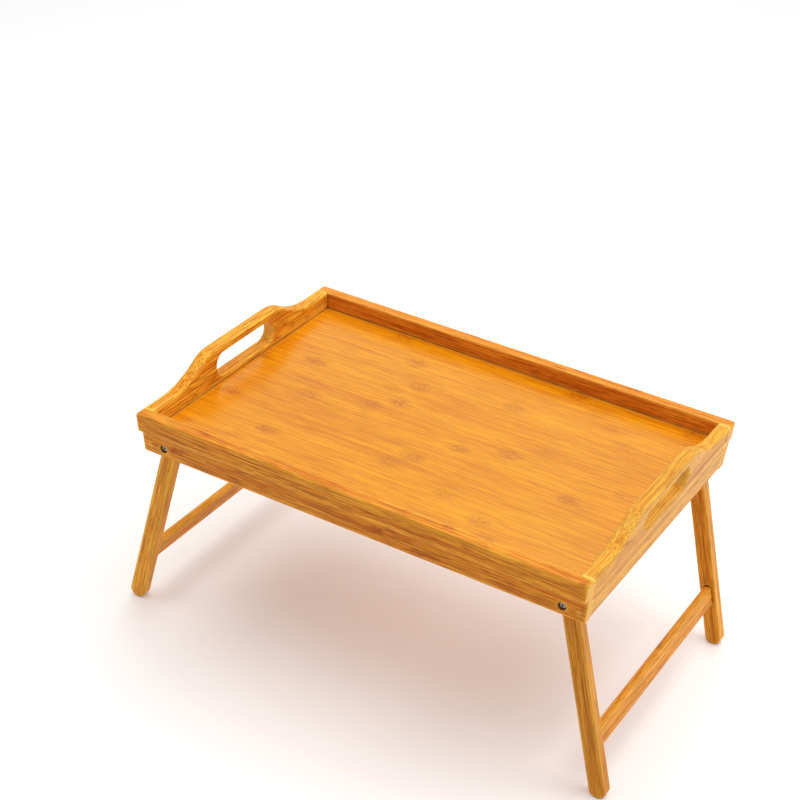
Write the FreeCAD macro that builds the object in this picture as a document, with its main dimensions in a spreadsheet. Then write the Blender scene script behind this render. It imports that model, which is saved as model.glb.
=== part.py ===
import FreeCAD, Part
import math
import os

import Sketcher
from FreeCAD import Placement, Rotation, Vector

# Folding tray table in bamboo. Millimetres, +Z up, +X along the long side.
# The origin is on the floor, under the middle of the tray.
#
# Depths are measured down from the level top of the rails. All four walls lean outward by side_lean,
# and their thicknesses are measured level, so a wall's inner face is its outer face moved straight in.
# A leg swings about its pivot bolt, in a plane of constant Y.

SIZES = [
    # the tray's box
    ("tray_length", 500.0),          # over the end boards, at the top
    ("tray_depth", 339.0),           # over the rails, at the top
    ("rail_top", 254.0),             # height of the rails' top above the floor
    ("side_lean", 3.8),              # degrees that the four walls lean outward
    ("wall_height", 48.6),           # level height of rails and end boards, handles left out
    # front and back rail: a wide band above a narrower apron
    ("rail_thick", 14.3),
    ("band_height", 21.2),
    ("apron_inset", 7.4),            # step from the band's outer face in to the apron's
    ("apron_thick", 10.0),
    ("ledge_depth", 25.0),           # depth of the inner step, where the apron starts
    ("top_round", 3.0),
    ("inner_round", 1.8),
    ("band_round", 2.6),
    ("foot_round", 3.0),
    # end boards
    ("end_thick", 14.2),
    ("handle_rise", 22.0),
    ("handle_flat", 100.0),          # length of the handle's level top
    ("handle_run", 80.0),            # length of the curve from the handle down to the rail's height
    ("shoulder_radius", 50.0),       # outward curve beside the level top
    ("slot_length", 101.0),
    ("slot_height", 25.0),
    ("slot_centre_rise", 0.4),       # slot's middle above the rails' top
    ("slot_round", 2.2),
    # tray panel and its groove
    ("floor_drop", 17.8),            # depth of the tray's floor
    ("panel_thick", 6.0),
    ("panel_gap", 0.15),
    ("tongue_drop", 1.5),
    ("tongue_thick", 3.0),
    ("tongue_reach", 3.5),
    ("groove_slack", 0.4),
    # legs and stretchers
    ("pivot_span", 223.2),           # pivot's X, left and right
    ("pivot_height", 216.0),
    ("leg_lean", 14.4),              # degrees from upright when open
    ("leg_width", 17.6),
    ("leg_thick", 12.0),
    ("leg_face", 147.0),             # leg's outer face, from the middle of the tray
    ("leg_round", 1.2),
    ("stop_gap", 0.35),              # between the open leg and the end board's bevel
    ("stretcher_drop", 161.1),       # from the pivot to the stretcher's middle, along the leg
    ("stretcher_wide", 8.6),
    ("stretcher_tall", 21.4),
    ("stretcher_round", 2.5),
    ("mortise_wide", 8.8),
    ("mortise_tall", 25.0),
    ("mortise_deep", 6.5),
    # pivot hardware
    ("bolt_radius", 2.0),
    ("bolt_length", 30.0),
    ("head_radius", 3.9),
    ("head_height", 2.8),
    ("head_round", 1.7),
    ("cross_long", 4.6),
    ("cross_wide", 1.1),
    ("cross_deep", 1.7),
    ("recess_radius", 4.5),
    ("recess_floor", 155.0),         # from the middle of the tray
    ("bolt_clearance", 0.08),
    ("spacer_radius", 7.0),
    ("spacer_seat", 150.1),          # flat seat in the rail, from the middle of the tray
    ("seat_radius", 7.6),
    ("side_play", 0.2),              # between a leg and the spacer or washer beside it
    ("washer_radius", 4.5),
    ("washer_thick", 0.8),
    ("nut_across", 7.0),
    ("nut_hex", 3.4),
    ("nut_thick", 5.0),
    ("collar_radius", 3.0),
    # dowels in the corner joints
    ("dowel_radius", 3.0),
    ("dowel_slack", 0.05),
    ("dowel_high", 9.0),             # depths of the two dowels of a corner
    ("dowel_low", 38.0),
    ("dowel_in_rail", 7.0),
    ("dowel_in_board", 16.0),
]

doc = FreeCAD.newDocument("folding_tray_table")
sheet = doc.addObject("Spreadsheet::Sheet", "Sizes")
for row, (alias, number) in enumerate(SIZES, start=1):
    sheet.set(f"A{row}", alias)
    sheet.set(f"B{row}", str(number))
    sheet.setAlias(f"B{row}", alias)
doc.recompute()

LEAN = "tan(Sizes.side_lean)"        # how far a wall comes in per unit of depth
APRON = "(Sizes.apron_inset + Sizes.apron_thick)"     # from a rail's outer plane to the apron's inner face
ENDS = {"left": -1, "right": 1}
FACES = {"front": -1, "back": 1}
ROWS = ("high", "low")
QUARTER = math.pi / 2


# ---- helpers for bound objects, sketches and features ----

def value(expression):
    """The number that an expression of the sheet gives."""
    result = sheet.evalExpression(expression)
    return float(getattr(result, "Value", result))


def bind(thing, **expressions):
    """Bind properties to expressions; a double underscore stands for a dot."""
    for name, expression in expressions.items():
        thing.setExpression(name.replace("__", "."), expression)


def place(thing, x="0", y="0", z="0", axis=None, angle="0"):
    """Put a sub-part at x, y, z, turned about an axis."""
    if axis:
        thing.Placement = Placement(Vector(), Rotation(Vector(*axis), 1))
        bind(thing, Placement__Rotation__Angle=angle)
    bind(thing, Placement__Base__x=x, Placement__Base__y=y, Placement__Base__z=z)


def new_body(label):
    body = doc.addObject("PartDesign::Body", label)
    body.Label = label
    return body


def new_sketch(body, name, role, out="0", axis=None, angle="0"):
    """A sketch on an origin plane of its own body, moved out along the plane's normal, perhaps tilted.

    The normals are +Z for XY_Plane, -Y for XZ_Plane and +X for YZ_Plane."""
    plane = next(item for item in body.Origin.OriginFeatures if item.Role == role)
    sketch = body.newObject("Sketcher::SketchObject", f"{body.Label}_{name}")
    sketch.AttachmentSupport = [(plane, "")]
    sketch.MapMode = "FlatFace"
    if axis:
        sketch.AttachmentOffset = Placement(Vector(), Rotation(Vector(*axis), 1))
        bind(sketch, AttachmentOffset__Rotation__Angle=angle)
    bind(sketch, AttachmentOffset__Base__z=out)
    return sketch


def corner(point):
    x, y = point
    return Vector(value(x), value(y), 0)


def fix_radius(sketch, geometry, expression):
    index = sketch.addConstraint(Sketcher.Constraint("Radius", geometry, value(expression)))
    sketch.setExpression(f"Constraints[{index}]", expression)


def fix_point(sketch, geometry, position, point):
    """Bind both coordinates of a point of the sketch."""
    for kind, expression in zip(("DistanceX", "DistanceY"), point):
        index = sketch.addConstraint(Sketcher.Constraint(kind, geometry, position, value(expression)))
        sketch.setExpression(f"Constraints[{index}]", expression)


def arc(centre, radius, first_angle, last_angle):
    return Part.ArcOfCircle(Part.Circle(centre, Vector(0, 0, 1), radius), first_angle, last_angle)


def bend_arc(start, end, radius, leftward):
    """The arc shorter than a half turn that leads from start to end, curving left or right."""
    chord = end - start
    height = math.sqrt(radius ** 2 - chord.Length ** 2 / 4)
    left = Vector(-chord.y, chord.x, 0).normalize()
    centre = (start + end) / 2 + left * (height if leftward else -height)
    first, last = (start, end) if leftward else (end, start)
    angles = [math.atan2(point.y - centre.y, point.x - centre.x) for point in (first, last)]
    return arc(centre, radius, angles[0], angles[1])


def outline(sketch, points, bends=None):
    """A closed outline through points, each a pair of expressions.

    The stretch after point n is straight, or an arc where bends has n: (radius, "left" or "right")."""
    bends = bends or {}
    chain = []
    for n, point in enumerate(points):
        start = corner(point)
        end = corner(points[(n + 1) % len(points)])
        if n in bends:
            radius, way = bends[n]
            index = sketch.addGeometry(bend_arc(start, end, value(radius), way == "left"))
            chain.append((index, 1, 2) if way == "left" else (index, 2, 1))
        else:
            index = sketch.addGeometry(Part.LineSegment(start, end))
            chain.append((index, 1, 2))
    for (here, _, here_end), (after, after_start, _) in zip(chain, chain[1:] + chain[:1]):
        sketch.addConstraint(Sketcher.Constraint("Coincident", here, here_end, after, after_start))
    for (index, start_position, _), point in zip(chain, points):
        fix_point(sketch, index, start_position, point)
    for n, (radius, _) in bends.items():
        fix_radius(sketch, chain[n][0], radius)


def circle(sketch, centre, radius):
    index = sketch.addGeometry(Part.Circle(corner(centre), Vector(0, 0, 1), value(radius)))
    fix_point(sketch, index, 3, centre)
    fix_radius(sketch, index, radius)


def round_ended(sketch, first, second, radius):
    """A straight slot with half-round ends; first and second are the centres of its ends."""
    start = corner(first)
    end = corner(second)
    size = value(radius)
    heading = math.atan2(end.y - start.y, end.x - start.x)
    aside = Vector(math.cos(heading + QUARTER), math.sin(heading + QUARTER), 0) * size
    first_cap = sketch.addGeometry(arc(start, size, heading + QUARTER, heading + 3 * QUARTER))
    lower = sketch.addGeometry(Part.LineSegment(start - aside, end - aside))
    second_cap = sketch.addGeometry(arc(end, size, heading - QUARTER, heading + QUARTER))
    upper = sketch.addGeometry(Part.LineSegment(end + aside, start + aside))
    chain = [first_cap, lower, second_cap, upper]
    for here, after in zip(chain, chain[1:] + chain[:1]):
        sketch.addConstraint(Sketcher.Constraint("Tangent", here, 2, after, 1))
    sketch.addConstraint(Sketcher.Constraint("Equal", first_cap, second_cap))
    fix_point(sketch, first_cap, 3, first)
    fix_point(sketch, second_cap, 3, second)
    fix_radius(sketch, first_cap, radius)


def rectangle(sketch, half_x, half_y, y="0"):
    """A rectangle about (0, y), from its half sizes."""
    outline(sketch, [
        (f"-({half_x})", f"{y} - ({half_y})"),
        (half_x, f"{y} - ({half_y})"),
        (half_x, f"{y} + ({half_y})"),
        (f"-({half_x})", f"{y} + ({half_y})"),
    ])


def pad(body, sketch, length, symmetric=False, direction=None):
    feature = body.newObject("PartDesign::Pad", f"{sketch.Name}_pad")
    feature.Profile = sketch
    feature.SideType = "Symmetric" if symmetric else "One side"
    if direction:
        feature.UseCustomVector = True
        feature.Direction = Vector(*direction)
        feature.AlongSketchNormal = False
    bind(feature, Length=length)
    doc.recompute()


def pocket(body, sketch, length=None, forward=False, symmetric=False):
    """Cut against the sketch's normal, or forward along it; through all where no length is given."""
    before = body.Shape.Volume
    feature = body.newObject("PartDesign::Pocket", f"{sketch.Name}_cut")
    feature.Profile = sketch
    feature.SideType = "Symmetric" if symmetric else "One side"
    feature.Reversed = forward
    if length:
        bind(feature, Length=length)
    else:
        feature.Type = "ThroughAll"
    doc.recompute()
    if not body.Shape.Volume < before - 1e-6:
        raise RuntimeError(f"{feature.Name} cuts nothing")


def fillet(body, name, radius, wanted):
    """Round the edges of the body whose edge and middle point pass a test."""
    base = body.Tip
    names = []
    for number, edge in enumerate(base.Shape.Edges, start=1):
        middle = edge.valueAt((edge.FirstParameter + edge.LastParameter) / 2)
        if wanted(edge, middle):
            names.append(f"Edge{number}")
    if not names:
        raise RuntimeError(f"{body.Label}: no edge for {name}")
    feature = body.newObject("PartDesign::Fillet", f"{body.Label}_{name}")
    feature.Base = (base, names)
    bind(feature, Radius=radius)
    doc.recompute()


def near(a, b, slack=0.05):
    return abs(a - b) < slack


# ---- walls: places on the leaning boards ----

def wall_point(inward, depth, step="0"):
    """Section point of a wall: step inward of its leaning outer face, at a depth."""
    return f"{inward} * ({depth} * {LEAN} + {step})", f"-({depth})"


def groove_section(sketch, inward, thick):
    """Section of the groove for the panel's tongue, cut from the inner face."""
    top = "Sizes.floor_drop + Sizes.tongue_drop - Sizes.groove_slack"
    bottom = "(Sizes.floor_drop + Sizes.tongue_drop + Sizes.tongue_thick)"
    floor = f"{thick} - Sizes.tongue_reach - 2 * Sizes.groove_slack"
    mouth = f"{thick} + Sizes.tongue_reach"
    outline(sketch, [
        wall_point(inward, f"({top})", floor),
        wall_point(inward, bottom, floor),
        wall_point(inward, bottom, mouth),
        wall_point(inward, f"({top})", mouth),
    ])


def dowel_x(row):
    """Middle of an end board's thickness at a dowel's depth."""
    return f"(Sizes.tray_length / 2 - Sizes.dowel_{row} * {LEAN} - Sizes.end_thick / 2)"


def dowel_face(row):
    """Where end board and rail meet at a dowel's depth, from the middle of the tray."""
    thick = "Sizes.rail_thick" if row == "high" else APRON
    return f"(Sizes.tray_depth / 2 - Sizes.dowel_{row} * {LEAN} - {thick})"


def leg_line(depth):
    """X of the line stop_gap outside the open leg's outer edge, at a depth."""
    return (f"(Sizes.pivot_span + (Sizes.pivot_height - Sizes.rail_top + {depth}) * tan(Sizes.leg_lean)"
            " + (Sizes.leg_width / 2 + Sizes.stop_gap) / cos(Sizes.leg_lean))")


# ---- rails: full-length mouldings, local origin at the outer top edge ----

def rail(name, side):
    """side is -1 at the front and 1 at the back."""
    body = new_body(name)
    inward = -side
    section = new_sketch(body, "section", "YZ_Plane")
    outline(section, [
        wall_point(inward, "0"),
        wall_point(inward, "Sizes.band_height"),
        wall_point(inward, "Sizes.band_height", "Sizes.apron_inset"),
        wall_point(inward, "Sizes.wall_height", "Sizes.apron_inset"),
        wall_point(inward, "Sizes.wall_height", APRON),
        wall_point(inward, "Sizes.ledge_depth", APRON),
        wall_point(inward, "Sizes.ledge_depth", "Sizes.rail_thick"),
        wall_point(inward, "0", "Sizes.rail_thick"),
    ])
    pad(body, section, "Sizes.tray_length", symmetric=True)

    # the ends follow the end boards' leaning outer faces
    ends = new_sketch(body, "ends", "XZ_Plane")
    half = "Sizes.tray_length / 2"
    below = "(2 * Sizes.wall_height)"
    for sign in ENDS.values():
        outline(ends, [
            (f"{sign} * {half}", "0"),
            (f"{sign} * ({half} + Sizes.end_thick)", "0"),
            (f"{sign} * ({half} + Sizes.end_thick)", f"-{below}"),
            (f"{sign} * ({half} - {below} * {LEAN})", f"-{below}"),
        ])
    pocket(body, ends, symmetric=True)

    groove = new_sketch(body, "groove", "YZ_Plane")
    groove_section(groove, inward, "Sizes.rail_thick")
    pocket(body, groove, symmetric=True,
           length=f"Sizes.tray_length - 2 * (Sizes.end_thick + Sizes.floor_drop * {LEAN}"
                  " - Sizes.tongue_reach - Sizes.groove_slack)")
    round_rail(body, inward)
    ease_inner_top(body, inward)
    bore_rail(body, side)
    place(body, y=f"{side} * Sizes.tray_depth / 2", z="Sizes.rail_top")


def round_rail(body, inward):
    """Round the outer top corner all the way round the ends, then the two outer lower edges."""
    lean = value(LEAN)
    half = value("Sizes.tray_length / 2")

    def on_end(middle):
        return near(abs(middle.x), half + lean * middle.z)

    def on_line(depth, step):
        y = inward * (value(depth) * lean + value(step))
        z = -value(depth)
        return lambda edge, middle: near(middle.x, 0) and near(middle.y, y) and near(middle.z, z)

    def outer_top(edge, middle):
        outer_face = near(middle.y, -inward * lean * middle.z) and -middle.z < value("Sizes.band_height") - 1
        top_face = near(middle.z, 0) and abs(middle.y) < value("Sizes.rail_thick") - 1
        return (outer_face and top_face) or (on_end(middle) and (outer_face or top_face))

    fillet(body, "outer_top", "Sizes.top_round", outer_top)
    fillet(body, "band_foot", "Sizes.band_round", on_line("Sizes.band_height", "0"))
    fillet(body, "apron_foot", "Sizes.foot_round", on_line("Sizes.wall_height", "Sizes.apron_inset"))


def ease_inner_top(body, inward):
    """Round the inner top edge between the end boards only, so that the corner joints stay flush.

    The arc touches the level top and the leaning face, each at the same reach from the corner."""
    reach = "(Sizes.inner_round * tan((90 - Sizes.side_lean) / 2))"
    clear = "Sizes.inner_round"
    top = f"{inward} * (Sizes.rail_thick - {reach})"
    face = wall_point(inward, f"({reach} * cos(Sizes.side_lean))", "Sizes.rail_thick")
    past = f"{inward} * (Sizes.rail_thick + {clear})"
    edge = new_sketch(body, "inner_edge", "YZ_Plane")
    points = [(top, "0"), face, (past, face[1]), (past, clear), (top, clear)]
    outline(edge, points, {0: ("Sizes.inner_round", "right" if inward > 0 else "left")})
    pocket(body, edge, "Sizes.tray_length - 2 * Sizes.end_thick + Sizes.top_round", symmetric=True)


def bore_rail(body, side):
    """Bolt holes, each with a recess outside and a flat seat inside, and blind dowel holes."""
    def cut(name, points, radius, from_middle, outward, length=None):
        out = f"{-side} * ({from_middle} - Sizes.tray_depth / 2)"
        sketch = new_sketch(body, name, "XZ_Plane", out)
        for point in points:
            circle(sketch, point, radius)
        pocket(body, sketch, length, forward=outward == (side < 0))

    pivots = [(f"{sign} * Sizes.pivot_span", "Sizes.pivot_height - Sizes.rail_top") for sign in ENDS.values()]
    cut("recess", pivots, "Sizes.recess_radius", "Sizes.recess_floor", outward=True)
    cut("seat", pivots, "Sizes.seat_radius", "Sizes.spacer_seat", outward=False)
    cut("bolt_hole", pivots, "Sizes.bolt_radius + Sizes.bolt_clearance", "Sizes.leg_face", outward=True)
    for row in ROWS:
        holes = [(f"{sign} * {dowel_x(row)}", f"-Sizes.dowel_{row}") for sign in ENDS.values()]
        cut(f"dowel_{row}", holes, "Sizes.dowel_radius + Sizes.dowel_slack",
            f"({dowel_face(row)} + Sizes.dowel_in_rail)", outward=False)


# ---- end boards: between the rails, rising to a handle, local origin at the outer top edge ----

def end_board(name, side):
    """side is -1 at the left and 1 at the right."""
    body = new_body(name)
    inward = -side
    face = new_sketch(body, "face", "YZ_Plane", axis=(side, 0, 0), angle="Sizes.side_lean")
    board_outline(face)
    slot_half = "(Sizes.slot_length - Sizes.slot_height) / 2"
    round_ended(face, (f"-{slot_half}", "Sizes.slot_centre_rise"), (slot_half, "Sizes.slot_centre_rise"),
                "Sizes.slot_height / 2")
    pad(body, face, "Sizes.end_thick", direction=(inward, 0, 0))

    groove = new_sketch(body, "groove", "XZ_Plane")
    groove_section(groove, inward, "Sizes.end_thick")
    pocket(body, groove, symmetric=True)
    round_board(body, inward)
    cut_leg_stop(body, inward)
    bore_board(body, inward)
    place(body, x=f"{side} * Sizes.tray_length / 2", z="Sizes.rail_top")


def board_outline(sketch):
    """The board's face; its handle falls from a level top in two tangent arcs on each side.

    The sketch lies on the leaning face, so a level depth is longer there by the lean's cosine.
    The foot arc's radius follows from the curve's run and rise and the shoulder's radius."""
    run = "Sizes.handle_run"
    rise = "Sizes.handle_rise"
    shoulder = "Sizes.shoulder_radius"
    foot = f"(({run} ^ 2 + {rise} ^ 2) / (2 * {rise}) - {shoulder})"
    share = f"({shoulder} / ({shoulder} + {foot}))"

    def edge(sign, depth, thick):
        x = f"{sign} * (Sizes.tray_depth / 2 - {depth} * {LEAN} - {thick})"
        return x, f"-{depth} / cos(Sizes.side_lean)"

    def handle(sign):
        """From the rail's height up to the level top."""
        return [
            (f"{sign} * (Sizes.handle_flat / 2 + {run})", "0"),
            (f"{sign} * (Sizes.handle_flat / 2 + {run} * {share})", f"{rise} * (1 - {share})"),
            (f"{sign} * Sizes.handle_flat / 2", rise),
        ]

    def side_edge(sign):
        """From the foot up to the rail's height, around the rail's inner step."""
        return [
            edge(sign, "Sizes.wall_height", APRON),
            edge(sign, "Sizes.ledge_depth", APRON),
            edge(sign, "Sizes.ledge_depth", "Sizes.rail_thick"),
            edge(sign, "0", "Sizes.rail_thick"),
        ]

    right = side_edge(1) + handle(1)
    left = side_edge(-1) + handle(-1)
    last = len(right) - 1
    bends = {
        last - 2: (foot, "right"),
        last - 1: (shoulder, "left"),
        last + 1: (shoulder, "left"),
        last + 2: (foot, "right"),
    }
    outline(sketch, right + left[::-1], bends)


def round_board(body, inward):
    """Round the top and the handle, the slot's rims and the outer foot."""
    lean = value(LEAN)
    slot_x = value("Sizes.slot_length / 2")
    slot_z = value("Sizes.slot_height / 2 + Sizes.slot_centre_rise")
    thick = value("Sizes.end_thick")
    height = value("Sizes.wall_height")

    def on_face(middle):
        step = inward * middle.x + lean * middle.z
        return near(step, 0) or near(step, thick)

    def in_slot(middle):
        return abs(middle.y) < slot_x + 1 and abs(middle.z) < slot_z + 1

    fillet(body, "top", "Sizes.top_round",
           lambda edge, middle: on_face(middle) and middle.z > -1 and not in_slot(middle))
    fillet(body, "slot_rim", "Sizes.slot_round",
           lambda edge, middle: on_face(middle) and in_slot(middle))
    fillet(body, "outer_foot", "Sizes.foot_round",
           lambda edge, middle: near(middle.z, -height) and near(inward * middle.x, lean * height))


def cut_leg_stop(body, inward):
    """Bevel at the inner foot, parallel to the open leg, that the leg rests against."""
    start = (f"((Sizes.tray_length / 2 - Sizes.end_thick - {leg_line('0')})"
             f" / ({LEAN} + tan(Sizes.leg_lean)))")
    below = "(Sizes.wall_height + Sizes.foot_round)"
    past = f"{inward} * 2 * Sizes.end_thick"
    bevel = new_sketch(body, "leg_stop", "XZ_Plane")
    outline(bevel, [
        (f"{inward} * (Sizes.tray_length / 2 - {leg_line(start)})", f"-{start}"),
        (f"{inward} * (Sizes.tray_length / 2 - {leg_line(below)})", f"-{below}"),
        (past, f"-{below}"),
        (past, f"-{start}"),
    ])
    pocket(body, bevel, symmetric=True)


def bore_board(body, inward):
    """Two blind dowel holes in each end of the board."""
    for row in ROWS:
        centre = (f"{inward} * (Sizes.tray_length / 2 - {dowel_x(row)})", f"-Sizes.dowel_{row}")
        for face, side in FACES.items():
            out = f"{-side} * ({dowel_face(row)} - Sizes.dowel_in_board)"
            sketch = new_sketch(body, f"dowel_{row}_{face}", "XZ_Plane", out)
            circle(sketch, centre, "Sizes.dowel_radius + Sizes.dowel_slack")
            pocket(body, sketch, forward=side < 0)


# ---- corner dowels: one group of separate pins ----

def corner_dowels(name):
    pins = []
    for face, side in FACES.items():
        for end, sign in ENDS.items():
            for row in ROWS:
                pin = doc.addObject("Part::Cylinder", f"pin_{end}_{face}_{row}")
                bind(pin, Radius="Sizes.dowel_radius", Height="Sizes.dowel_in_rail + Sizes.dowel_in_board")
                # each pin's own +Z points away from the rail, into the board
                place(pin, x=f"{sign} * {dowel_x(row)}", y=f"{side} * ({dowel_face(row)} + Sizes.dowel_in_rail)",
                      z=f"Sizes.rail_top - Sizes.dowel_{row}", axis=(side, 0, 0), angle="90")
                pins.append(pin)
    group = doc.addObject("Part::Compound", name)
    group.Label = name
    group.Links = pins
    doc.recompute()


# ---- tray panel: a plate with a thinner tongue all round, local origin in the middle of its top ----

def tray_panel(name):
    body = new_body(name)
    under = f"(Sizes.floor_drop + Sizes.panel_thick) * {LEAN} + Sizes.panel_gap"
    plate = new_sketch(body, "plate", "XY_Plane", "-Sizes.panel_thick")
    rectangle(plate, f"Sizes.tray_length / 2 - Sizes.end_thick - ({under})",
              f"Sizes.tray_depth / 2 - Sizes.rail_thick - ({under})")
    pad(body, plate, "Sizes.panel_thick")
    reach = f"Sizes.floor_drop * {LEAN} - Sizes.tongue_reach"
    tongue = new_sketch(body, "tongue", "XY_Plane", "-(Sizes.tongue_drop + Sizes.tongue_thick)")
    rectangle(tongue, f"Sizes.tray_length / 2 - Sizes.end_thick - ({reach})",
              f"Sizes.tray_depth / 2 - Sizes.rail_thick - ({reach})")
    pad(body, tongue, "Sizes.tongue_thick")
    place(body, z="Sizes.rail_top - Sizes.floor_drop")


# ---- legs and stretchers: local origin at the pivot, the leg pointing straight down ----

def place_on_leg(body, end, y="0"):
    """Carry a piece drawn beside an upright leg to the leaning, open leg."""
    place(body, x=f"{end} * Sizes.pivot_span", y=y, z="Sizes.pivot_height",
          axis=(0, -end, 0), angle="Sizes.leg_lean")


def leg(name, end, side):
    body = new_body(name)
    reach = "((Sizes.pivot_height - Sizes.leg_width / 2) / cos(Sizes.leg_lean))"
    slat = new_sketch(body, "slat", "XZ_Plane")
    round_ended(slat, ("0", f"-{reach}"), ("0", "0"), "Sizes.leg_width / 2")
    pad(body, slat, "Sizes.leg_thick", symmetric=True)
    half = value("Sizes.leg_thick / 2")
    fillet(body, "easing", "Sizes.leg_round", lambda edge, middle: near(abs(middle.y), half))

    mortise = new_sketch(body, "mortise", "XZ_Plane", f"{side} * Sizes.leg_thick / 2")
    straight = "(Sizes.mortise_tall - Sizes.mortise_wide) / 2"
    round_ended(mortise, ("0", f"-Sizes.stretcher_drop - {straight}"), ("0", f"-Sizes.stretcher_drop + {straight}"),
                "Sizes.mortise_wide / 2")
    pocket(body, mortise, "Sizes.mortise_deep", forward=side < 0)
    bore = new_sketch(body, "bore", "XZ_Plane")
    circle(bore, ("0", "0"), "Sizes.bolt_radius + Sizes.bolt_clearance")
    pocket(body, bore, symmetric=True)
    place_on_leg(body, end, f"{side} * (Sizes.leg_face - Sizes.leg_thick / 2)")


def stretcher(name, end):
    body = new_body(name)
    section = new_sketch(body, "section", "XZ_Plane")
    rectangle(section, "Sizes.stretcher_wide / 2", "Sizes.stretcher_tall / 2", y="-Sizes.stretcher_drop")
    pad(body, section, "2 * (Sizes.leg_face - Sizes.leg_thick + Sizes.mortise_deep)", symmetric=True)
    fillet(body, "easing", "Sizes.stretcher_round", lambda edge, middle: near(middle.y, 0))
    place_on_leg(body, end)


# ---- pivot hardware: local +Z runs along the bolt, from the rail towards the middle of the tray ----

def place_on_bolt(body, end, side, from_middle):
    place(body, x=f"{end} * Sizes.pivot_span", y=f"{side} * ({from_middle})", z="Sizes.pivot_height",
          axis=(side, 0, 0), angle="90")


def pivot_bolt(name, end, side):
    """Pan-head machine bolt with a cross recess; z is 0 under the head."""
    body = new_body(name)
    profile = new_sketch(body, "profile", "XZ_Plane")
    outline(profile, [
        ("0", "-Sizes.head_height"),
        ("Sizes.head_radius", "-Sizes.head_height"),
        ("Sizes.head_radius", "0"),
        ("Sizes.bolt_radius", "0"),
        ("Sizes.bolt_radius", "Sizes.bolt_length"),
        ("0", "Sizes.bolt_length"),
    ])
    turned = body.newObject("PartDesign::Revolution", f"{name}_turned")
    turned.Profile = profile
    turned.ReferenceAxis = (profile, ["V_Axis"])
    turned.Angle = 360
    doc.recompute()
    head = -value("Sizes.head_height")
    fillet(body, "head_edge", "Sizes.head_round", lambda edge, middle: near(middle.z, head))

    cross = new_sketch(body, "cross", "XY_Plane", "-Sizes.head_height")
    long_way = "Sizes.cross_long / 2"
    short_way = "Sizes.cross_wide / 2"
    arms = [(long_way, short_way), (short_way, short_way), (short_way, long_way)]
    quadrants = [(1, 1), (-1, 1), (-1, -1), (1, -1)]
    points = []
    for sx, sy in quadrants:
        steps = arms if sx * sy > 0 else arms[::-1]
        points += [(f"{sx} * {x}", f"{sy} * {y}") for x, y in steps]
    outline(cross, points)
    pocket(body, cross, "Sizes.cross_deep", forward=True)
    place_on_bolt(body, end, side, "Sizes.recess_floor")


def ring(name, end, side, radius, thick, from_middle):
    """A washer or spacer on the bolt, starting at a distance from the middle of the tray."""
    body = new_body(name)
    flat = new_sketch(body, "flat", "XY_Plane")
    circle(flat, ("0", "0"), radius)
    circle(flat, ("0", "0"), "Sizes.bolt_radius + Sizes.bolt_clearance")
    pad(body, flat, thick)
    place_on_bolt(body, end, side, from_middle)


def lock_nut(name, end, side):
    """Hexagon with a round locking collar on its far side."""
    body = new_body(name)
    hexagon = new_sketch(body, "hexagon", "XY_Plane")
    tip = "Sizes.nut_across / 2 / cos(30)"
    outline(hexagon, [(f"{tip} * cos({60 * n})", f"{tip} * sin({60 * n})") for n in range(6)])
    pad(body, hexagon, "Sizes.nut_hex")
    collar = new_sketch(body, "collar", "XY_Plane", "Sizes.nut_hex")
    circle(collar, ("0", "0"), "Sizes.collar_radius")
    pad(body, collar, "Sizes.nut_thick - Sizes.nut_hex")
    thread = new_sketch(body, "thread", "XY_Plane")
    circle(thread, ("0", "0"), "Sizes.bolt_radius")
    pocket(body, thread, forward=True)
    place_on_bolt(body, end, side,
                  "Sizes.leg_face - Sizes.leg_thick - Sizes.side_play - Sizes.washer_thick")


# ---- the table ----

for face, side in FACES.items():
    rail(f"{face}_rail", side)
for end_name, end in ENDS.items():
    end_board(f"{end_name}_end_board", end)
    stretcher(f"{end_name}_stretcher", end)
    for face, side in FACES.items():
        where = f"{end_name}_{face}"
        leg(f"{where}_leg", end, side)
        pivot_bolt(f"{where}_pivot_bolt", end, side)
        ring(f"{where}_spacer", end, side, "Sizes.spacer_radius",
             "Sizes.spacer_seat - Sizes.leg_face - Sizes.side_play", "Sizes.spacer_seat")
        ring(f"{where}_washer", end, side, "Sizes.washer_radius", "Sizes.washer_thick",
             "Sizes.leg_face - Sizes.leg_thick - Sizes.side_play")
        lock_nut(f"{where}_lock_nut", end, side)
tray_panel("tray_panel")
corner_dowels("corner_dowels")
doc.recompute()

for item in doc.Objects:
    if "Invalid" in item.State or "Error" in item.State:
        raise RuntimeError(f"{item.Name} failed: {item.State}")

os.makedirs("parts", exist_ok=True)
for item in doc.Objects:
    if item.TypeId not in ("PartDesign::Body", "Part::Compound"):
        continue
    if item.Shape.isNull() or not item.Shape.isValid():
        raise RuntimeError(f"{item.Label} has no valid shape")
    item.Shape.exportStep(f"parts/{item.Label}.step")
    print(f"{item.Label}: {item.Shape.Volume / 1000:.2f} cm3, {len(item.Shape.Solids)} solid")
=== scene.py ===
# %% [markdown]
# # A folding bamboo tray table
# A bed tray is a shallow bamboo box on two pairs of legs that swing out from under it. The packed
# model already holds every board, leg, bolt and nut in metres, with the floor at z = 0, so nothing
# is fitted by eye here. The model could be drawn again in Blender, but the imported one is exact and
# its joints already work, so this lesson keeps it and gives it finishes, a few machined details,
# light and a camera.

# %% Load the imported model
from math import pi, radians

import bpy
import numpy as np
from mathutils import Matrix, Vector


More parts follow.
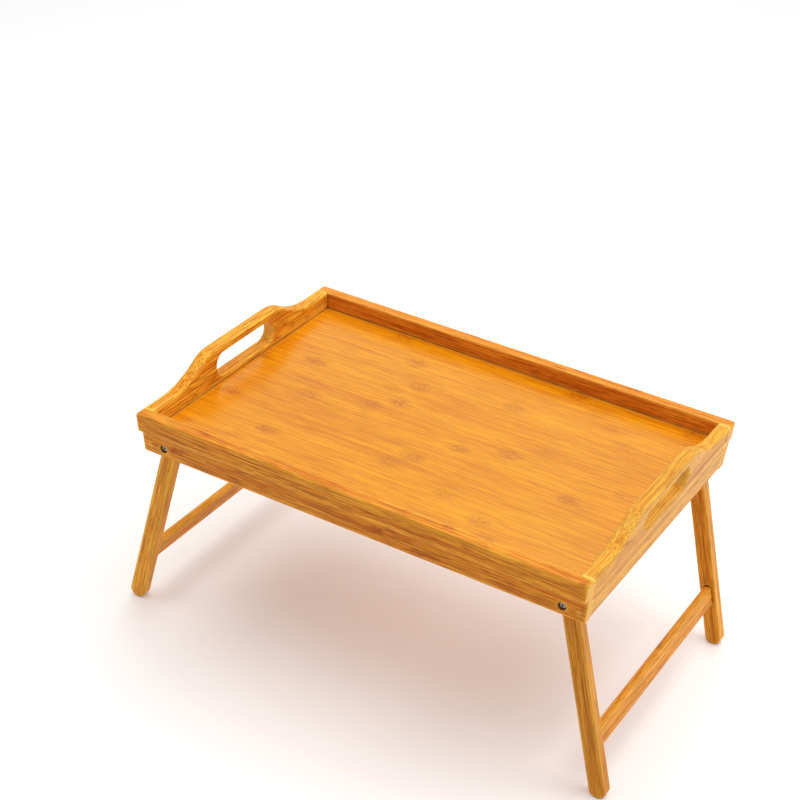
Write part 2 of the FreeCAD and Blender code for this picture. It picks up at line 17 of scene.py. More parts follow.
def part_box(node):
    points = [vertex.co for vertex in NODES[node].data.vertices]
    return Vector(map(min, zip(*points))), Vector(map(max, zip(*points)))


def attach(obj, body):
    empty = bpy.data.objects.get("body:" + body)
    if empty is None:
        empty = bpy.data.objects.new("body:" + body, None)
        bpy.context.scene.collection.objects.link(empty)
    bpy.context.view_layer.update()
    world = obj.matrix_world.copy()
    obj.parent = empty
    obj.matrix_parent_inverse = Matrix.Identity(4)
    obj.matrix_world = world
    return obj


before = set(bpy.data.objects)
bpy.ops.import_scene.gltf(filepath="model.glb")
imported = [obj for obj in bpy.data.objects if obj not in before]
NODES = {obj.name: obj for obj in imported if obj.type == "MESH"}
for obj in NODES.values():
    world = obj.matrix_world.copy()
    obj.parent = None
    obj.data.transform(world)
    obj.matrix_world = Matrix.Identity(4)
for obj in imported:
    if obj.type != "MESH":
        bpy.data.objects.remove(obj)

bpy.context.view_layer.update()

# %% [markdown]
# ## Camera
# Product pictures of trays are taken from the front right, looking down far enough to show the
# whole tray floor. The camera could be aimed with a constraint at an empty. Three plain turns are
# used instead, because they say exactly how it stands: a turn to the left, a tip downwards and a
# slight roll, all in radians. The small upward shift slides the frame without tilting the camera.

# %% Camera
CAMERA_PLACE = Vector((0.7079, -1.3138, 1.1721))
TURN = 0.518
TIP = 0.5887
ROLL = 0.0542
LENS = 78.8
SHIFT_UP = 0.1
turn_left = Matrix.Rotation(TURN, 3, "Z")
tip_down = Matrix.Rotation(pi / 2 - TIP, 3, "X")
roll = Matrix.Rotation(ROLL, 3, "Z")

camera_data = bpy.data.cameras.new("tray_camera")
camera_data.sensor_width = 36.0
camera_data.lens = LENS
camera_data.shift_y = SHIFT_UP
camera = bpy.data.objects.new("tray_camera", camera_data)
camera.matrix_world = Matrix.Translation(CAMERA_PLACE) @ (turn_left @ tip_down @ roll).to_4x4()
bpy.context.collection.objects.link(camera)
bpy.context.scene.camera = camera
bpy.context.scene.view_settings.view_transform = "Standard"
print("camera is", round(CAMERA_PLACE.length, 2), "m from the middle of the floor")

# %% [markdown]
# ## Studio
# A catalogue studio is a white sheet with large soft lamps. One could light the tray with a sky
# picture, but area lamps are plainer to reason about: a wide one overhead makes the tray floor the
# brightest face, and one to the right lights the end board and the sides of the legs, so the front
# rail and the leg fronts stay the darkest faces. A third stands behind, where the varnished tray
# floor mirrors it towards the camera, and a small one on the left lifts the left legs.

# %% Floor
SHEET_HALF = 6.0
sheet_mesh = bpy.data.meshes.new("white_sheet")
sheet_corners = SHEET_HALF * np.array([(-1, -1, 0), (1, -1, 0), (1, 1, 0), (-1, 1, 0)])
sheet_mesh.from_pydata(sheet_corners.tolist(), [], [(0, 1, 2, 3)])
white_sheet = bpy.data.objects.new("white_sheet", sheet_mesh)
bpy.context.collection.objects.link(white_sheet)
print("white sheet:", 2 * SHEET_HALF, "m square")

# %% Lamps
TRAY_MIDDLE = (0, 0, 0.2)


def soft_lamp(name, place, size, watts):
    """A square area lamp at place that faces the tray; size is its side in metres. The camera sees
    its light and its reflection but not the lamp."""
    lamp_data = bpy.data.lights.new(name, "AREA")
    lamp_data.size = size
    lamp_data.energy = watts
    lamp = bpy.data.objects.new(name, lamp_data)
    aim = Vector(TRAY_MIDDLE) - Vector(place)
    lamp.matrix_world = Matrix.Translation(place) @ aim.to_track_quat("-Z", "Y").to_matrix().to_4x4()
    lamp.visible_camera = False
    bpy.context.collection.objects.link(lamp)


soft_lamp("overhead_lamp", (0.1, 0.3, 2.6), 3.2, 74)
soft_lamp("right_lamp", (2.2, 0.4, 1.1), 1.4, 14)
soft_lamp("left_lamp", (-2.0, -1.4, 0.9), 1.2, 6)
soft_lamp("back_lamp", (-1.2, 2.3, 2.0), 3.0, 16)
print("lamps:", [lamp.name for lamp in bpy.data.lights])

# %% [markdown]
# ## Helpers for shader nodes
# Every finish below is a small network of nodes. Networks can be wired in the editor, but wiring
# them in code keeps each finish repeatable. put() adds one node and fills its inputs, reckon() adds
# one Math node, stretched() widens a noise that stays near its middle, blended() mixes two colours
# and new_group() starts a group with named inputs and outputs.


# %% Node helpers
def put(tree, kind, feeds=(), **settings):
    """Add one node. settings are its own options; feeds are values or sockets for its inputs."""
    node = tree.nodes.new("ShaderNode" + kind)
    for option, value in settings.items():
        setattr(node, option, value)
    for label, value in dict(feeds).items():
        if isinstance(value, bpy.types.NodeSocket):
            tree.links.new(value, node.inputs[label])
        else:
            node.inputs[label].default_value = value
    return node


def reckon(tree, operation, *values):
    """One Math node on numbers or sockets; gives its output socket."""
    return put(tree, "Math", enumerate(values), operation=operation).outputs[0]


def stretched(tree, value, low, high, smooth=False):
    """value carried from low..high to 0..1 and held there."""
    kind = "SMOOTHSTEP" if smooth else "LINEAR"
    feeds = {"Value": value, "From Min": low, "From Max": high}
    return put(tree, "MapRange", feeds, interpolation_type=kind).outputs["Result"]


def blended(tree, amount, first, second):
    """first turned into second by amount, both colours."""
    node = put(tree, "Mix", data_type="RGBA")
    for index, value in ((0, amount), (6, first), (7, second)):
        if isinstance(value, bpy.types.NodeSocket):
            tree.links.new(value, node.inputs[index])
        else:
            node.inputs[index].default_value = value
    return node.outputs[2]


def new_group(name, inputs, outputs):
    """An empty shader group; inputs are (label, socket type, default) and outputs (label, type)."""
    group = bpy.data.node_groups.new(name, "ShaderNodeTree")
    for label, kind, default in inputs:
        socket = group.interface.new_socket(label, in_out="INPUT", socket_type=kind)
        if default is not None:
            socket.default_value = default
    for label, kind in outputs:
        group.interface.new_socket(label, in_out="OUTPUT", socket_type=kind)
    group_in = group.nodes.new("NodeGroupInput")
    group_out = group.nodes.new("NodeGroupOutput")
    return group, group_in.outputs, group_out.inputs


FLOAT = "NodeSocketFloat"
COLOUR = "NodeSocketColor"
VECTOR = "NodeSocketVector"
print("helpers ready")

# %% [markdown]
# ## White sheet and world
# A sweep of white paper has no far edge in a catalogue picture. One could bend a backdrop up behind
# the tray, but the tray is looked at from all round. So the sheet fades out with distance into a
# white world. It glows faintly, as a light table does, which keeps the shadow pale, and it is clear
# from underneath, so that the legs' fold can be looked at from there. The world is white to the
# camera and dim to everything else, where it only fills the shadows.

# %% Sheet and world finish
FADE_FROM = 1.6
FADE_TO = 3.2
SHEET_WHITE = (0.88, 0.88, 0.88, 1)
SHEET_ROUGH = 0.9
SHEET_GLOW = 0.17
WORLD_FILL = 0.28
PURE_WHITE = (1, 1, 1, 1)
sheet_finish = bpy.data.materials.new("white_sheet")
sheet_finish.use_nodes = True
tree = sheet_finish.node_tree
sheet_shader = tree.nodes["Principled BSDF"]
sheet_shader.inputs["Base Color"].default_value = SHEET_WHITE
sheet_shader.inputs["Roughness"].default_value = SHEET_ROUGH
sheet_shader.inputs["Emission Color"].default_value = PURE_WHITE
sheet_shader.inputs["Emission Strength"].default_value = SHEET_GLOW
coordinates = put(tree, "TexCoord").outputs["Object"]
distance = put(tree, "VectorMath", {0: coordinates}, operation="LENGTH").outputs["Value"]
faded = stretched(tree, distance, FADE_FROM, FADE_TO, smooth=True)
underneath = put(tree, "NewGeometry").outputs["Backfacing"]
gone = reckon(tree, "MAXIMUM", faded, underneath)
tree.links.new(reckon(tree, "SUBTRACT", 1.0, gone), sheet_shader.inputs["Alpha"])
sheet_mesh.materials.append(sheet_finish)

studio_world = bpy.data.worlds.new("studio")
studio_world.use_nodes = True
tree = studio_world.node_tree
tree.nodes["Background"].inputs["Color"].default_value = PURE_WHITE
seen = put(tree, "LightPath").outputs["Is Camera Ray"]
strength = reckon(tree, "MULTIPLY_ADD", seen, 1 - WORLD_FILL, WORLD_FILL)
tree.links.new(strength, tree.nodes["Background"].inputs["Strength"])
bpy.context.scene.world = studio_world
print("sheet fades from", FADE_FROM, "to", FADE_TO, "m, world fill", WORLD_FILL)

# %% [markdown]
# ## Bamboo strips
# The boards are not sawn from a tree. A bamboo culm is split into strips that are planed and glued
# side by side, so each strip has its own tone, long fibres run along it, and every quarter metre or
# so it crosses a culm joint, which shows as a small cluster of short dark dashes. A scanned picture
# of bamboo could be wrapped round each board. A group of noises on Object coordinates suits solid
# wood better, because the fibres run through the board and come out as dots on its sloping ends.
# In the group, X runs along the fibres, Y across the strips and Z through them. A grain is a pair of
# frequencies, in blotches per metre along the fibres and across them.

# %% Fibre noise group
NOISE_MIDDLE = (0.28, 0.72)
NOISE_ROUGHNESS = 0.6


def fibre_group():
    """Noise on the place times (along, across, across), so it is drawn out along X; its middle
    range is widened to 0..1."""
    inputs = [("Place", VECTOR, None), ("Along", FLOAT, 20.0), ("Across", FLOAT, 800.0),
              ("Detail", FLOAT, 2.0)]
    group, given, gives = new_group("bamboo fibres", inputs, [("Value", FLOAT)])
    squeeze = put(group, "CombineXYZ", {"X": given["Along"], "Y": given["Across"],
                                        "Z": given["Across"]}).outputs[0]
    drawn_out = put(group, "VectorMath", {0: given["Place"], 1: squeeze}, operation="MULTIPLY")
    noise = put(group, "TexNoise", {"Vector": drawn_out.outputs[0], "Scale": 1.0,
                                    "Detail": given["Detail"], "Roughness": NOISE_ROUGHNESS})
    group.links.new(stretched(group, noise.outputs[0], *NOISE_MIDDLE), gives["Value"])
    return group


FIBRES = fibre_group()


def fibres(tree, place, grain, detail=2.0):
    """The fibre group placed in tree with a grain of its own."""
    node = put(tree, "Group", node_tree=FIBRES)
    tree.links.new(place, node.inputs["Place"])
    for label, value in (("Along", grain[0]), ("Across", grain[1]), ("Detail", detail)):
        node.inputs[label].default_value = value
    return node.outputs["Value"]


print("fibre group:", len(FIBRES.nodes), "nodes")

# %% Culm joint group
CLUSTER_GRAIN = (90, 420)
DASH_GRAIN = (300, 1000)
STRIP_SLIDE = 7.3
MIDDLE_FROM = 0.2
MIDDLE_SPAN = 0.6
RAGGED_EDGE = 1.2
CLUSTER_FADE = (0.4, 1.9)
CHANCE_OF_JOINT = (0.15, 0.75)
DASH_RANGE = (0.46, 0.6)


def culm_joint_group():
    """Clusters of dark dashes. Each strip is slid by its own chance and cut into lengths of one
    joint spacing. The cluster sits a random way along each length, inside a ragged ellipse whose
    squared distance is (along / length)^2 + (2 * across / strip width)^2."""
    inputs = [("Place", VECTOR, None), ("Strip Width", FLOAT, 0.02), ("Strip Thick", FLOAT, 0.02),
              ("Spacing", FLOAT, 0.25), ("Length", FLOAT, 0.008), ("Seed", FLOAT, 0.0)]
    outputs = [("Dashes", FLOAT), ("Halo", FLOAT), ("Strip", FLOAT)]
    group, given, gives = new_group("culm joints", inputs, outputs)
    place = put(group, "SeparateXYZ", {0: given["Place"]}).outputs
    strip_place = reckon(group, "DIVIDE", place["Y"], given["Strip Width"])
    strip_place = reckon(group, "ADD", strip_place, given["Seed"])
    strip = reckon(group, "FLOOR", strip_place)
    layer = reckon(group, "FLOOR", reckon(group, "DIVIDE", place["Z"], given["Strip Thick"]))
    strip_name = put(group, "CombineXYZ", {"X": strip, "Y": layer, "Z": given["Seed"]})
    strip_chance = put(group, "TexWhiteNoise", {"Vector": strip_name.outputs[0]})
    along = reckon(group, "DIVIDE", place["X"], given["Spacing"])
    along = reckon(group, "MULTIPLY_ADD", strip_chance.outputs["Value"], STRIP_SLIDE, along)
    length_name = put(group, "CombineXYZ", {"X": strip, "Y": reckon(group, "FLOOR", along),
                                            "Z": layer})
    length_chance = put(group, "TexWhiteNoise", {"Vector": length_name.outputs[0]})
    chances = put(group, "SeparateColor", {0: length_chance.outputs["Color"]}).outputs
    middle = reckon(group, "MULTIPLY_ADD", chances["Red"], MIDDLE_SPAN, MIDDLE_FROM)
    off_along = reckon(group, "SUBTRACT", reckon(group, "FRACT", along), middle)
    off_along = reckon(group, "MULTIPLY", off_along, given["Spacing"])
    off_along = reckon(group, "DIVIDE", off_along, given["Length"])
    off_across = reckon(group, "SUBTRACT", reckon(group, "FRACT", strip_place), 0.5)
    off_across = reckon(group, "MULTIPLY", off_across, 2.0)
    ragged = fibres(group, given["Place"], CLUSTER_GRAIN)
    away = reckon(group, "POWER", off_along, 2.0)
    away = reckon(group, "ADD", away, reckon(group, "POWER", off_across, 2.0))
    away = reckon(group, "MULTIPLY_ADD", ragged, RAGGED_EDGE, away)
    cluster = reckon(group, "SUBTRACT", 1.0, stretched(group, away, *CLUSTER_FADE, True))
    strength = stretched(group, chances["Green"], *CHANCE_OF_JOINT)
    cluster = reckon(group, "MULTIPLY", cluster, strength)
    dash = stretched(group, fibres(group, given["Place"], DASH_GRAIN, 1.0), *DASH_RANGE)
    group.links.new(reckon(group, "MULTIPLY", cluster, dash), gives["Dashes"])
    group.links.new(cluster, gives["Halo"])
    group.links.new(strip_chance.outputs["Value"], gives["Strip"])
    return group


CULM_JOINTS = culm_joint_group()
print("culm joint group:", len(CULM_JOINTS.nodes), "nodes")

# %% Bamboo group
SWAY_GRAIN = (14, 40)
SWAY_DEPTH = 0.0012
BLOTCH_GRAIN = (5, 26)
STREAK_GRAIN = (9, 540)
FINE_GRAIN = (30, 1150)
THREAD_GRAIN = (14, 680)
PORE_GRAIN = (48, 1000)
THREAD_RANGE = (0.58, 0.84)
PORE_RANGE = (0.58, 0.85)
DULL_RANGE = (-0.4, 1.6)
HALO_TONE = 0.16
FINE_HEIGHT = 0.5
STREAK_HEIGHT = 0.3
DARK_HOLLOW = 0.6


def bamboo_group():
    """One bamboo surface. The place sways a little across the fibres, so that none is quite
    straight. The tone is 0.5 plus a weighted sum of strip tone, broad blotches, streaks and fine
    fibres, and runs from Pale to Deep. Thin threads, pores and culm joints are laid over it in
    Dark. Height is the fibres less the dark lines, and Dullness follows the tone."""
    inputs = [("Place", VECTOR, None), ("Strip Width", FLOAT, 0.02), ("Strip Thick", FLOAT, 0.02),
              ("Spacing", FLOAT, 0.25), ("Joint Length", FLOAT, 0.008), ("Seed", FLOAT, 0.0),
              ("Pale", COLOUR, None), ("Deep", COLOUR, None), ("Dark", COLOUR, None),
              ("Strip Tone", FLOAT, 0.3), ("Blotches", FLOAT, 0.3), ("Streaks", FLOAT, 0.5),
              ("Threads", FLOAT, 0.3), ("Joints", FLOAT, 0.8)]
    outputs = [("Color", COLOUR), ("Height", FLOAT), ("Dullness", FLOAT)]
    group, given, gives = new_group("bamboo", inputs, outputs)
    joints = put(group, "Group", node_tree=CULM_JOINTS)
    shared = (("Place", "Place"), ("Strip Width", "Strip Width"), ("Strip Thick", "Strip Thick"),
              ("Spacing", "Spacing"), ("Joint Length", "Length"), ("Seed", "Seed"))
    for label, theirs in shared:
        group.links.new(given[label], joints.inputs[theirs])
    shift = put(group, "CombineXYZ", {"X": given["Seed"], "Y": joints.outputs["Strip"]})
    place = put(group, "VectorMath", {0: given["Place"], 1: shift.outputs[0]}, operation="ADD")
    place = place.outputs[0]
    sway = reckon(group, "MULTIPLY", fibres(group, place, SWAY_GRAIN), SWAY_DEPTH)
    sway = put(group, "CombineXYZ", {"Y": sway}).outputs[0]
    place = put(group, "VectorMath", {0: place, 1: sway}, operation="ADD").outputs[0]
    blotch = fibres(group, place, BLOTCH_GRAIN)
    streak = fibres(group, place, STREAK_GRAIN, 3.0)
    fine = fibres(group, place, FINE_GRAIN)
    tone = 0.5
    parts = ((joints.outputs["Strip"], "Strip Tone"), (blotch, "Blotches"), (streak, "Streaks"),
             (fine, "Streaks"))
    for value, weight in parts:
        centred = reckon(group, "SUBTRACT", value, 0.5)
        tone = reckon(group, "MULTIPLY_ADD", centred, given[weight], tone)
    tone = reckon(group, "MULTIPLY_ADD", joints.outputs["Halo"], HALO_TONE, tone)
    colour = blended(group, stretched(group, tone, 0.0, 1.0), given["Pale"], given["Deep"])
    threads = stretched(group, fibres(group, place, THREAD_GRAIN), *THREAD_RANGE)
    pores = stretched(group, fibres(group, place, PORE_GRAIN, 1.0), *PORE_RANGE)
    threads = reckon(group, "MAXIMUM", threads, pores)
    thread_depth = reckon(group, "MULTIPLY", threads, given["Threads"])
    joint_depth = reckon(group, "MULTIPLY", joints.outputs["Dashes"], given["Joints"])
    dark = reckon(group, "MAXIMUM", thread_depth, joint_depth)
    group.links.new(blended(group, dark, colour, given["Dark"]), gives["Color"])
    height = reckon(group, "MULTIPLY", streak, STREAK_HEIGHT)
    height = reckon(group, "MULTIPLY_ADD", fine, FINE_HEIGHT, height)
    height = reckon(group, "SUBTRACT", height, reckon(group, "MULTIPLY", dark, DARK_HOLLOW))
    group.links.new(height, gives["Height"])
    group.links.new(stretched(group, tone, *DULL_RANGE), gives["Dullness"])
    return group


BAMBOO = bamboo_group()
print("bamboo group:", len(BAMBOO.nodes), "nodes")

# %% [markdown]
# ## Worn and highlighted edges, stained and shaded corners
# Sanding and handling thin the varnish on every outer edge, so edges are paler and a little duller,
# and glue and stain gather in the inner corners, so joints show as fine dark lines. The paler edges
# are also a painted highlight where the rounded edges catch the lamps, and the dark corners are also
# painted shade, in the joints and under the overhanging step of the rails. Both could be painted by
# hand on each board. Ambient Occlusion nodes find them instead: rays sent into the wood meet its
# other faces only near an outer edge, and rays sent out of it meet wood only in a corner. Hands and
# dishes wear the upper edges most, and the lamps fall on them from above, so the paling, part wear
# and part painted highlight, is weaker on faces that look down.

# %% Edge group
EDGE_GRAIN = (60, 260)
EDGE_RAYS = 6
EDGE_RANGE = (0.07, 0.4)
EDGE_LEAST = 0.45
EDGE_RAGGED = 0.7
UPWARD_RANGE = (-0.9, 0.5)
CORNER_RANGE = (0.2, 0.6)


def edge_group():
    """Edge is high within Edge Width of an outer edge, Corner within Corner Width of an inner one.
    Each is one minus the share of short rays that meet nothing. Edge is made ragged by a noise and
    scaled by how far its face looks up."""
    inputs = [("Place", VECTOR, None), ("Edge Width", FLOAT, 0.004), ("Corner Width", FLOAT, 0.004)]
    group, given, gives = new_group("edges and corners", inputs, [("Edge", FLOAT), ("Corner", FLOAT)])
    ragged = fibres(group, given["Place"], EDGE_GRAIN)
    inward = put(group, "AmbientOcclusion", {"Distance": given["Edge Width"]}, samples=EDGE_RAYS,
                 inside=True, only_local=True).outputs["AO"]
    edge = stretched(group, reckon(group, "SUBTRACT", 1.0, inward), *EDGE_RANGE)
    ragged = reckon(group, "MULTIPLY_ADD", ragged, EDGE_RAGGED, EDGE_LEAST)
    edge = reckon(group, "MULTIPLY", edge, ragged)
    upward = put(group, "TexCoord").outputs["Normal"]
    upward = put(group, "SeparateXYZ", {0: upward}).outputs["Z"]
    edge = reckon(group, "MULTIPLY", edge, stretched(group, upward, *UPWARD_RANGE))
    outward = put(group, "AmbientOcclusion", {"Distance": given["Corner Width"]}, samples=EDGE_RAYS)
    corner = reckon(group, "SUBTRACT", 1.0, outward.outputs["AO"])
    corner = stretched(group, corner, *CORNER_RANGE)
    group.links.new(edge, gives["Edge"])
    group.links.new(corner, gives["Corner"])
    return group


EDGES = edge_group()
print("edge group:", len(EDGES.nodes), "nodes")

# %% [markdown]
# ## Bamboo finish
# Every bamboo part is varnished, satin on the walls and legs and glossier on the tray floor, but
# each was cut from other strips and leans its own way. One finish could serve them all; the tray
# would then look cast from a single block. So each part gets its own material, with its own turn,
# seed and tones, from one function; the legs' tones also carry painted light and shade. Faces cut
# across the fibres come out paler, because there the pale pith between the fibre ends shows. The
# varnish is warm in tone, so its shine is tinted: honey on the walls and legs, straw on the tray
# floor.


# %% Bamboo finish
def srgb(red, green, blue):
    """A colour given as 0..255 screen values, changed to the linear values shaders use."""
    screen = np.array([red, green, blue]) / 255
    linear = np.where(screen <= 0.04045, screen / 12.92, ((screen + 0.055) / 1.055) ** 2.4)
    return (*linear.tolist(), 1.0)


def toned(colours, tone):
    """The same colours with red, green and blue multiplied by tone, which is one number or three."""
    return [(*(np.array(colour[:3]) * tone).clip(0, 1).tolist(), 1.0) for colour in colours]


HONEY = (1.0, 0.64, 0.26, 1.0)
STRAW = (1.0, 0.92, 0.2, 1.0)
# Outer edges pale: varnish wear and a painted highlight.
EDGE_WEAR_AND_HIGHLIGHT = 0.75
END_WEAR = 0.45
END_RANGE = (0.3, 0.9)
# Inner corners darken: glue stain and painted shade.
CORNER_STAIN_AND_SHADE = 0.8
DULL_FIBRE = 0.16
DULL_EDGE = 0.12
DULL_CORNER = 0.4
FIBRE_DEPTH = 0.0004
FIBRE_BUMP = 0.25


def bamboo_finish(name, turn, seed, colours, varnish=0.36, gloss=0.28, tint=HONEY, **grain):
    """A varnished bamboo material. turn rotates Object coordinates so that X follows the fibres,
    colours are pale, deep, dark and a paler colour for worn edges, their painted highlight and end
    grain, varnish is its roughness, gloss and tint are the strength and colour of its shine, and
    grain sets the bamboo group's inputs by name. Outer edges pale as wear and painted highlight, and
    inner corners darken as glue stain and painted shade."""
    finish = bpy.data.materials.new(name)
    finish.use_nodes = True
    tree = finish.node_tree
    shader = tree.nodes["Principled BSDF"]
    coordinates = put(tree, "TexCoord").outputs["Object"]
    place = put(tree, "Mapping", {"Vector": coordinates, "Rotation": turn}).outputs[0]
    bamboo = put(tree, "Group", node_tree=BAMBOO)
    pale, deep, dark, pale_wear_and_highlight = colours
    values = {"Seed": seed, "Pale": pale, "Deep": deep, "Dark": dark}
    values.update({label.replace("_", " ").title(): value for label, value in grain.items()})
    tree.links.new(place, bamboo.inputs["Place"])
    for label, value in values.items():
        bamboo.inputs[label].default_value = value
    edges = put(tree, "Group", node_tree=EDGES)
    tree.links.new(place, edges.inputs["Place"])
    facing = put(tree, "TexCoord").outputs["Normal"]
    facing = put(tree, "Mapping", {"Vector": facing, "Rotation": turn}, vector_type="NORMAL")
    facing = put(tree, "SeparateXYZ", {0: facing.outputs[0]}).outputs["X"]
    end_grain = stretched(tree, reckon(tree, "ABSOLUTE", facing), *END_RANGE)
    end_grain = reckon(tree, "MULTIPLY", end_grain, END_WEAR)
    # Outer edges pale towards the paler colour: varnish wear plus a painted highlight. End grain
    # pales too.
    wear_highlight_and_ends = reckon(tree, "MULTIPLY", edges.outputs["Edge"], EDGE_WEAR_AND_HIGHLIGHT)
    wear_highlight_and_ends = reckon(tree, "MAXIMUM", wear_highlight_and_ends, end_grain)
    colour = blended(tree, wear_highlight_and_ends, bamboo.outputs["Color"], pale_wear_and_highlight)
    # Inner corners darken: glue stain plus painted shade in the joints and under the rails' step.
    stain_and_shade = reckon(tree, "MULTIPLY", edges.outputs["Corner"], CORNER_STAIN_AND_SHADE)
    colour = blended(tree, stain_and_shade, colour, dark)
    tree.links.new(colour, shader.inputs["Base Color"])
    rough = reckon(tree, "MULTIPLY_ADD", bamboo.outputs["Dullness"], DULL_FIBRE, varnish)
    rough = reckon(tree, "MULTIPLY_ADD", edges.outputs["Edge"], DULL_EDGE, rough)
    rough = reckon(tree, "MULTIPLY_ADD", edges.outputs["Corner"], DULL_CORNER, rough)
    tree.links.new(rough, shader.inputs["Roughness"])
    height = bamboo.outputs["Height"]
    bump = put(tree, "Bump", {"Strength": FIBRE_BUMP, "Distance": FIBRE_DEPTH, "Height": height})
    tree.links.new(bump.outputs[0], shader.inputs["Normal"])
    shader.inputs["Specular IOR Level"].default_value = gloss
    shader.inputs["Specular Tint"].default_value = tint
    return finish


def give(finish, *node_names):
    """Puts finish on every material slot of the named CAD nodes."""
    for node_name in node_names:
        for slot in NODES[node_name].material_slots:
            slot.material = finish
    print(finish.name, "->", ", ".join(node_names))


ALONG_X = (0, 0, 0)
ALONG_Y = (0, 0, radians(90))

# %% [markdown]
# ## Tray floor
# The floor is a thin glued sheet of flat strips whose wide faces show, so it carries the most culm
# joints. It lies flat under the lamps and has the smoothest varnish, and the walls mirror in it as
# deeper orange bands. Those bands could be painted; a glossier varnish gives them from any side.

# %% Tray floor finish
# The fourth colour in each list is the paler one for worn edges, their painted highlight and end
# grain.
panel_colours = (srgb(241, 160, 15), srgb(206, 110, 3), srgb(160, 62, 4), srgb(246, 188, 70))
panel_grain = dict(strip_width=0.02, strip_thick=0.02, spacing=0.19, joint_length=0.015,
                   strip_tone=0.2, blotches=0.3, streaks=0.95, threads=0.3, joints=0.75)
panel_finish = bamboo_finish("panel_bamboo", ALONG_X, 3.2, panel_colours, varnish=0.12, gloss=1.0,
                             tint=STRAW, **panel_grain)
give(panel_finish, "tray_panel")

# %% [markdown]
# ## Rails
# The two long rails are milled from thicker glued stock, so a strip edge shows every few
# millimetres as a long streak. They use the same bamboo with narrower strips and stronger streaks.

# %% Rail finishes
rail_colours = (srgb(255, 182, 58), srgb(202, 102, 14), srgb(138, 52, 6), srgb(255, 220, 104))
rail_grain = dict(strip_width=0.0072, strip_thick=0.0072, spacing=0.24, joint_length=0.009,
                  strip_tone=0.4, blotches=0.35, streaks=0.85, threads=0.55, joints=0.8)
front_colours = toned(rail_colours, (1.0, 0.95, 0.8))
back_colours = toned(rail_colours, (0.98, 0.8, 0.78))
give(bamboo_finish("front_rail_bamboo", ALONG_X, 1.7, front_colours, **rail_grain), "front_rail")
give(bamboo_finish("back_rail_bamboo", ALONG_X, 8.4, back_colours, **rail_grain), "back_rail")

# %% [markdown]
# ## End boards
# The end boards are turned a quarter turn, so their fibres run from front to back. The curved
# shoulders cut across the fibres and show their ends as fine dots; the solid noise does that alone.
# One finish could do for both boards. They were cut from different strips, though, so the left one
# has redder and stronger streaks and the right one is calmer and more golden.

# %% End board finishes
left_colours = (srgb(255, 194, 60), srgb(232, 126, 18), srgb(134, 46, 6), srgb(255, 212, 96))
left_grain = dict(strip_width=0.0068, strip_thick=0.0068, spacing=0.2, joint_length=0.008,
                  strip_tone=0.35, blotches=0.4, streaks=1.15, threads=0.66, joints=0.8)
give(bamboo_finish("left_board_bamboo", ALONG_Y, 5.1, left_colours, **left_grain), "left_end_board")
right_colours = (srgb(252, 190, 66), srgb(214, 132, 28), srgb(140, 62, 10), srgb(255, 226, 122))
right_grain = dict(left_grain, blotches=0.35, streaks=0.85, threads=0.5, joints=0.9)
give(bamboo_finish("right_board_bamboo", ALONG_Y, 2.6, right_colours, **right_grain),
     "right_end_board")

# %% [markdown]
# ## Legs and stretchers
# A leg's fibres follow the leg, which leans outwards when it is open. The noise could simply run
# straight up, and the fibres would then leave the leg at a slant, so each leg's material turns the
# coordinates by the lean. Each leg has its own seed and a slightly different tone, because no two
# were cut from the same strip. On top of that the left legs and stretcher are toned lighter, as
# painted light, and the right ones darker, as painted shade.

# %% Leg and stretcher finishes
LEG_LEAN = 14.4
LEG_COLOURS = (srgb(246, 168, 52), srgb(190, 106, 20), srgb(126, 52, 8), srgb(255, 206, 90))
LEG_GRAIN = dict(strip_width=0.02, strip_thick=0.0061, spacing=0.28, joint_length=0.008,
                 strip_tone=0.35, blotches=0.35, streaks=0.85, threads=0.45, joints=0.6)


def leg_finish(part, turn, seed, tone):
    """The leg bamboo made lighter or darker by tone, given to one leg or stretcher; tone is partly
    the leg's own tone and partly painted light (left side) and painted shade (right side).
    """
    colours = toned(LEG_COLOURS, tone)
    give(bamboo_finish(f"{part}_bamboo", turn, seed, colours, **LEG_GRAIN), part)


left_turn = (0, radians(90 - LEG_LEAN), 0)
right_turn = (0, radians(LEG_LEAN - 90), 0)
# Left side toned lighter as painted light, right side darker as painted shade, over each leg's own
# tone.
leg_finish("left_front_leg", left_turn, 1.2, 1.26)
leg_finish("left_back_leg", left_turn, 7.1, 1.2)
leg_finish("left_stretcher", ALONG_Y, 5.3, 1.3)
leg_finish("right_front_leg", right_turn, 0.4, 0.94)
leg_finish("right_back_leg", right_turn, 5.5, 1.04)
leg_finish("right_stretcher", ALONG_Y, 3.7, 1.08)

# %% [markdown]
# ## Dowels, steel and nylon
# The hidden corner dowels are plain turned hardwood, the pivots are zinc-plated steel with faint
# turning marks, and the spacers are milky nylon with a slight mould texture. Plain colours would do
# at this size, but close views show the screws, so each has its own small pattern.

# %% Small finishes
CLOUD_GRAIN = (180, 180)
SMALL_EDGE = 0.0006
SMALL_CORNER = 0.001
MARK_BUMP = 0.3
DULL_MARKS = 0.2
# The near-black below is painted shade, laid into the inner corners and recesses of the small parts.
HOLLOW_SHADE_DEPTH = 0.6
HOLLOW_SHADE_COLOUR = (0.03, 0.02, 0.015, 1)


